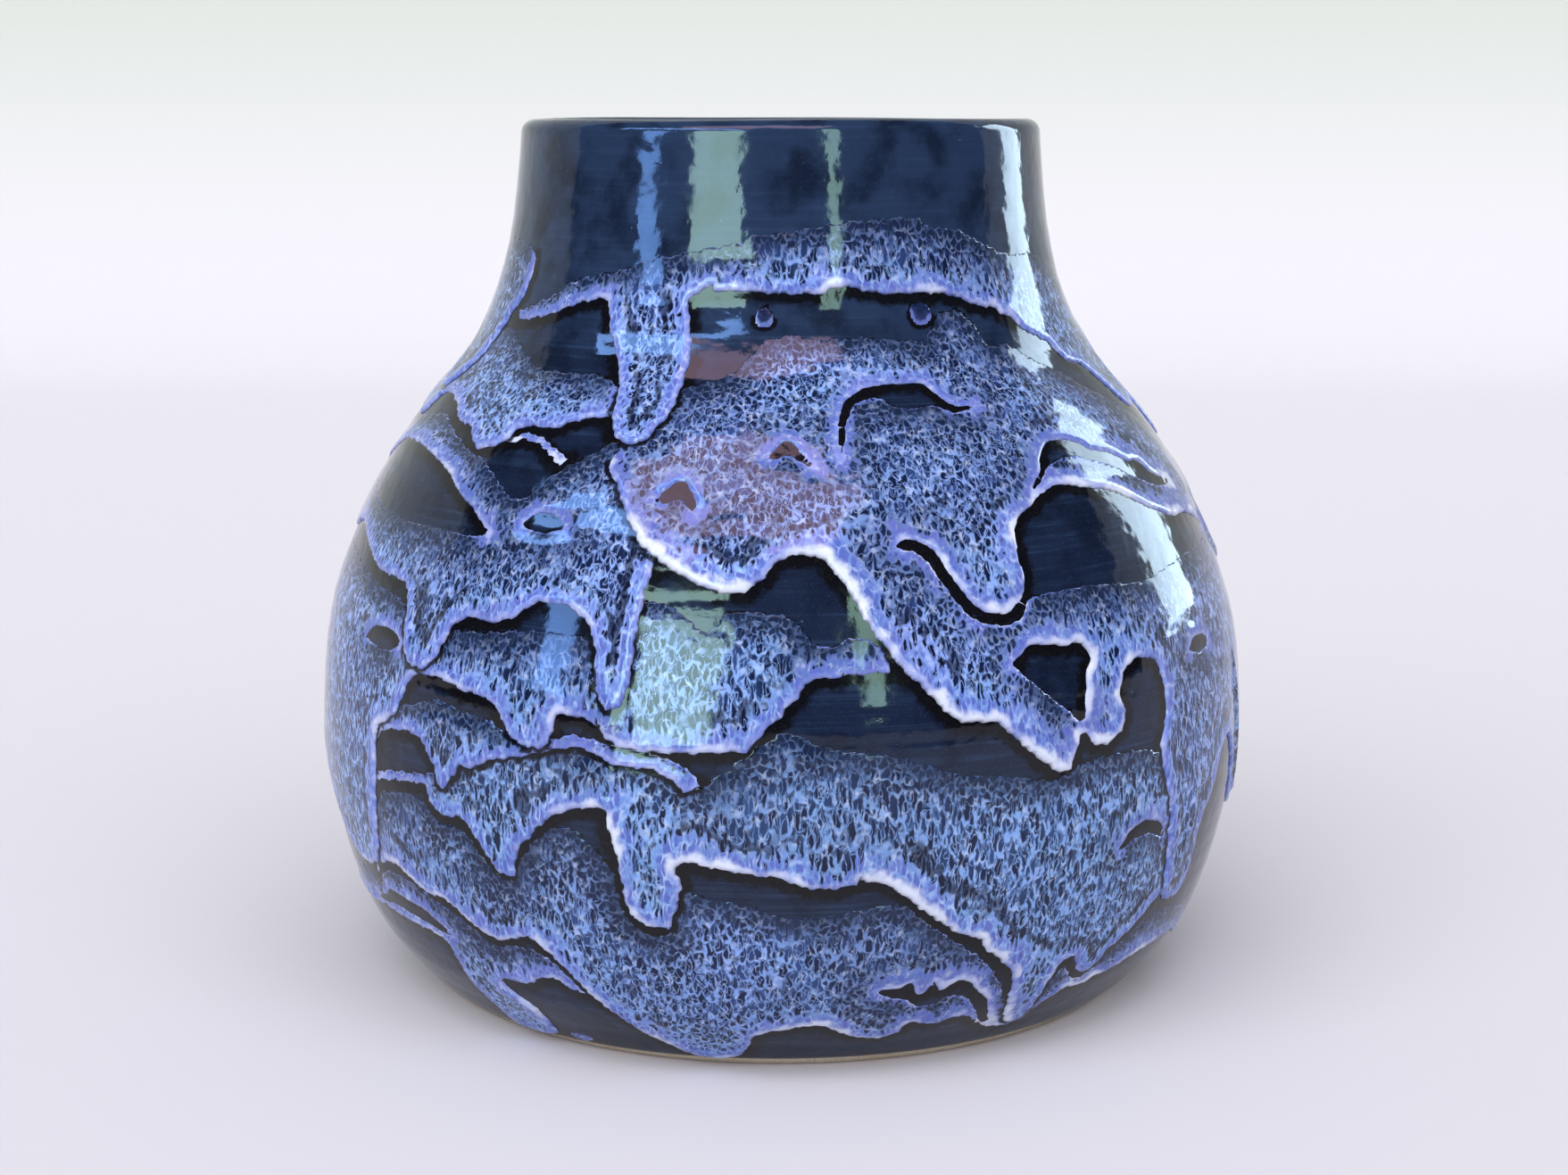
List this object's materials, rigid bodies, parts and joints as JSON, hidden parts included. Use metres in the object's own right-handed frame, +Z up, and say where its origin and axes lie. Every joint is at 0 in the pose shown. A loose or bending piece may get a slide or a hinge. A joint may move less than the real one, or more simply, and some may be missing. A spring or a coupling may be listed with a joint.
{
  "type": "pottery vase",
  "caption": "Round-bellied stoneware vase with a short cylindrical neck, a plain rounded lip, a trimmed foot ring and pale glaze poured in runs over a navy base glaze.",
  "frame": {"origin": "centre of the foot on the table", "axes": "+Z up along the wheel's axis, +X right and -Y toward the viewer who faces the vase's front"},
  "size_m": [0.155, 0.155, 0.1399],
  "materials": {
    "stoneware_clay": "bare fired stoneware, matt, fine grain",
    "navy_glaze": "deep navy, high gloss",
    "liner_glaze": "deep navy, high gloss",
    "pale_glaze": "pale violet blue, high gloss"
  },
  "bodies": {
    "root": {"clay_body": "stoneware_clay", "base_glaze": "navy_glaze", "liner_glaze": "liner_glaze", "run_neck_front": "pale_glaze", "run_neck_back": "pale_glaze", "run_shoulder_left": "pale_glaze", "run_shoulder_low_left": "pale_glaze", "run_upper_belly_left": "pale_glaze", "run_shoulder_front": "pale_glaze", "run_shoulder_right": "pale_glaze", "run_shoulder_back": "pale_glaze", "run_belly_left": "pale_glaze", "run_belly_front": "pale_glaze", "run_belly_right": "pale_glaze", "run_belly_back": "pale_glaze", "run_side_left": "pale_glaze", "run_middle": "pale_glaze", "run_side_right": "pale_glaze", "run_lower_left": "pale_glaze", "run_foot_left": "pale_glaze", "run_foot_front": "pale_glaze", "run_foot_back": "pale_glaze"}
  },
  "joints": []
}
